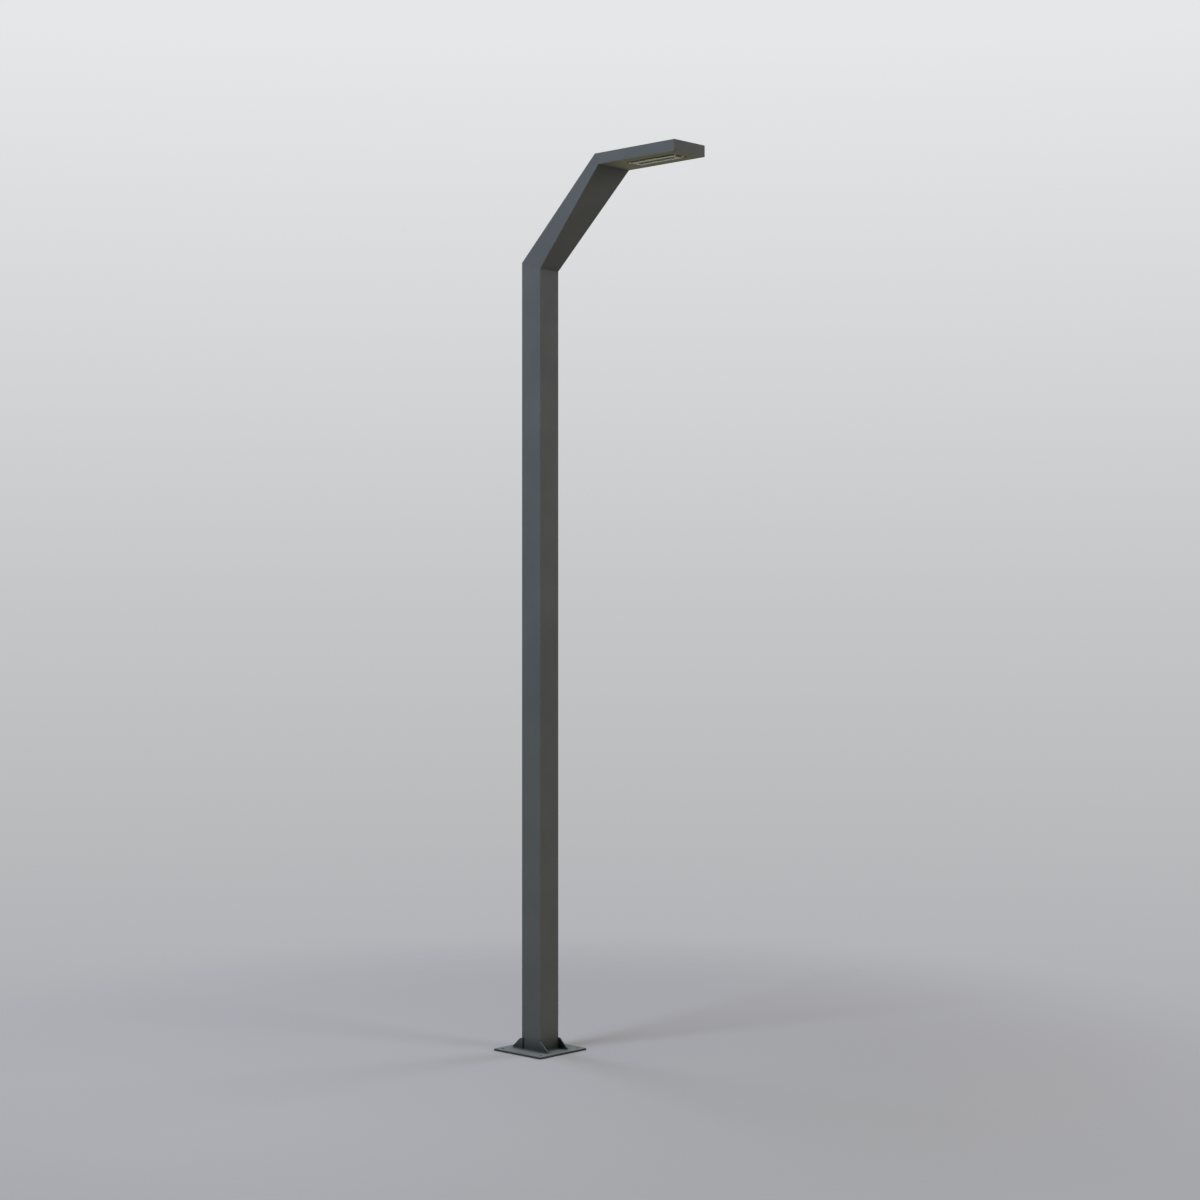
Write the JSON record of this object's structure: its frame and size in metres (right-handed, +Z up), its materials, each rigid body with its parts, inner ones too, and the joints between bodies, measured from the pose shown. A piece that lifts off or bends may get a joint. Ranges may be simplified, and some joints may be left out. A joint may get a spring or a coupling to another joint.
{
  "type": "garden light pole",
  "caption": "Square steel garden light pole with a tapered leaning arm, a flat head with an LED module in its underside, a service door and a gusseted base plate.",
  "frame": {"origin": "on the pole's axis at the underside of the base plate, in the middle of the anchor holes", "axes": "+Z up the pole, +X the way the arm and head point, +Y to the arm's left"},
  "size_m": [0.879, 0.25, 3.357],
  "materials": {
    "paint": "satin powder coat, dark grey",
    "black_paint": "matt powder coat, black",
    "zinc": "zinc plated",
    "stainless": "bare stainless",
    "frame": "anodised, matt",
    "aluminium": "as extruded",
    "pane": "frosted on its inner face",
    "black_rubber": "matt",
    "white_rubber": "matt silicone",
    "circuit_board": "black solder mask",
    "phosphor": "phosphor",
    "white_plastic": "moulded",
    "grey_plastic": "moulded",
    "black_plastic": "moulded",
    "ceramic": "glazed ceramic",
    "tinned_copper": "tinned copper",
    "lead_sheath": "PVC sheath",
    "earth_sheath": "PVC sheath"
  },
  "bodies": {
    "root": {"base_plate": "paint", "gusset_front_right": "paint", "gusset_front_left": "paint", "gusset_rear_right": "paint", "gusset_rear_left": "paint", "pole_tube": "paint", "arm_shell": "paint", "head_channel": "paint", "head_floor": "paint", "end_plate": "paint", "door_panel": "paint", "rail_inner": "paint", "rail_outer": "paint", "driver_tray": "paint", "door_lug_upper": "paint", "door_lug_lower": "paint", "fuse_rail": "paint", "module_plate": "black_paint", "earth_stud": "zinc", "earth_nut": "zinc", "earth_washer": "zinc", "module_screws": "stainless", "clamp_screws": "stainless", "driver_screws": "stainless", "door_screws": "stainless", "fuse_box_screws": "stainless", "rail_screws": "stainless", "lens_frame": "frame", "heat_sink": "aluminium", "lens_pane": "pane", "module_seal": "black_rubber", "lead_grommet": "black_rubber", "earth_bush": "black_rubber", "lamp_cable": "black_rubber", "lens_gasket": "white_rubber", "led_board": "circuit_board", "led_packages": "phosphor", "led_driver": "white_plastic", "terminal_block": "white_plastic", "fuse_box_base": "grey_plastic", "fuse_box_cover": "grey_plastic", "fuse_carrier": "black_plastic", "lamp_gland": "black_plastic", "supply_gland": "black_plastic", "gland_nuts": "black_plastic", "fuse_link": "ceramic", "earth_lug": "tinned_copper", "led_lead": "lead_sheath", "earth_lead": "earth_sheath"}
  },
  "joints": []
}
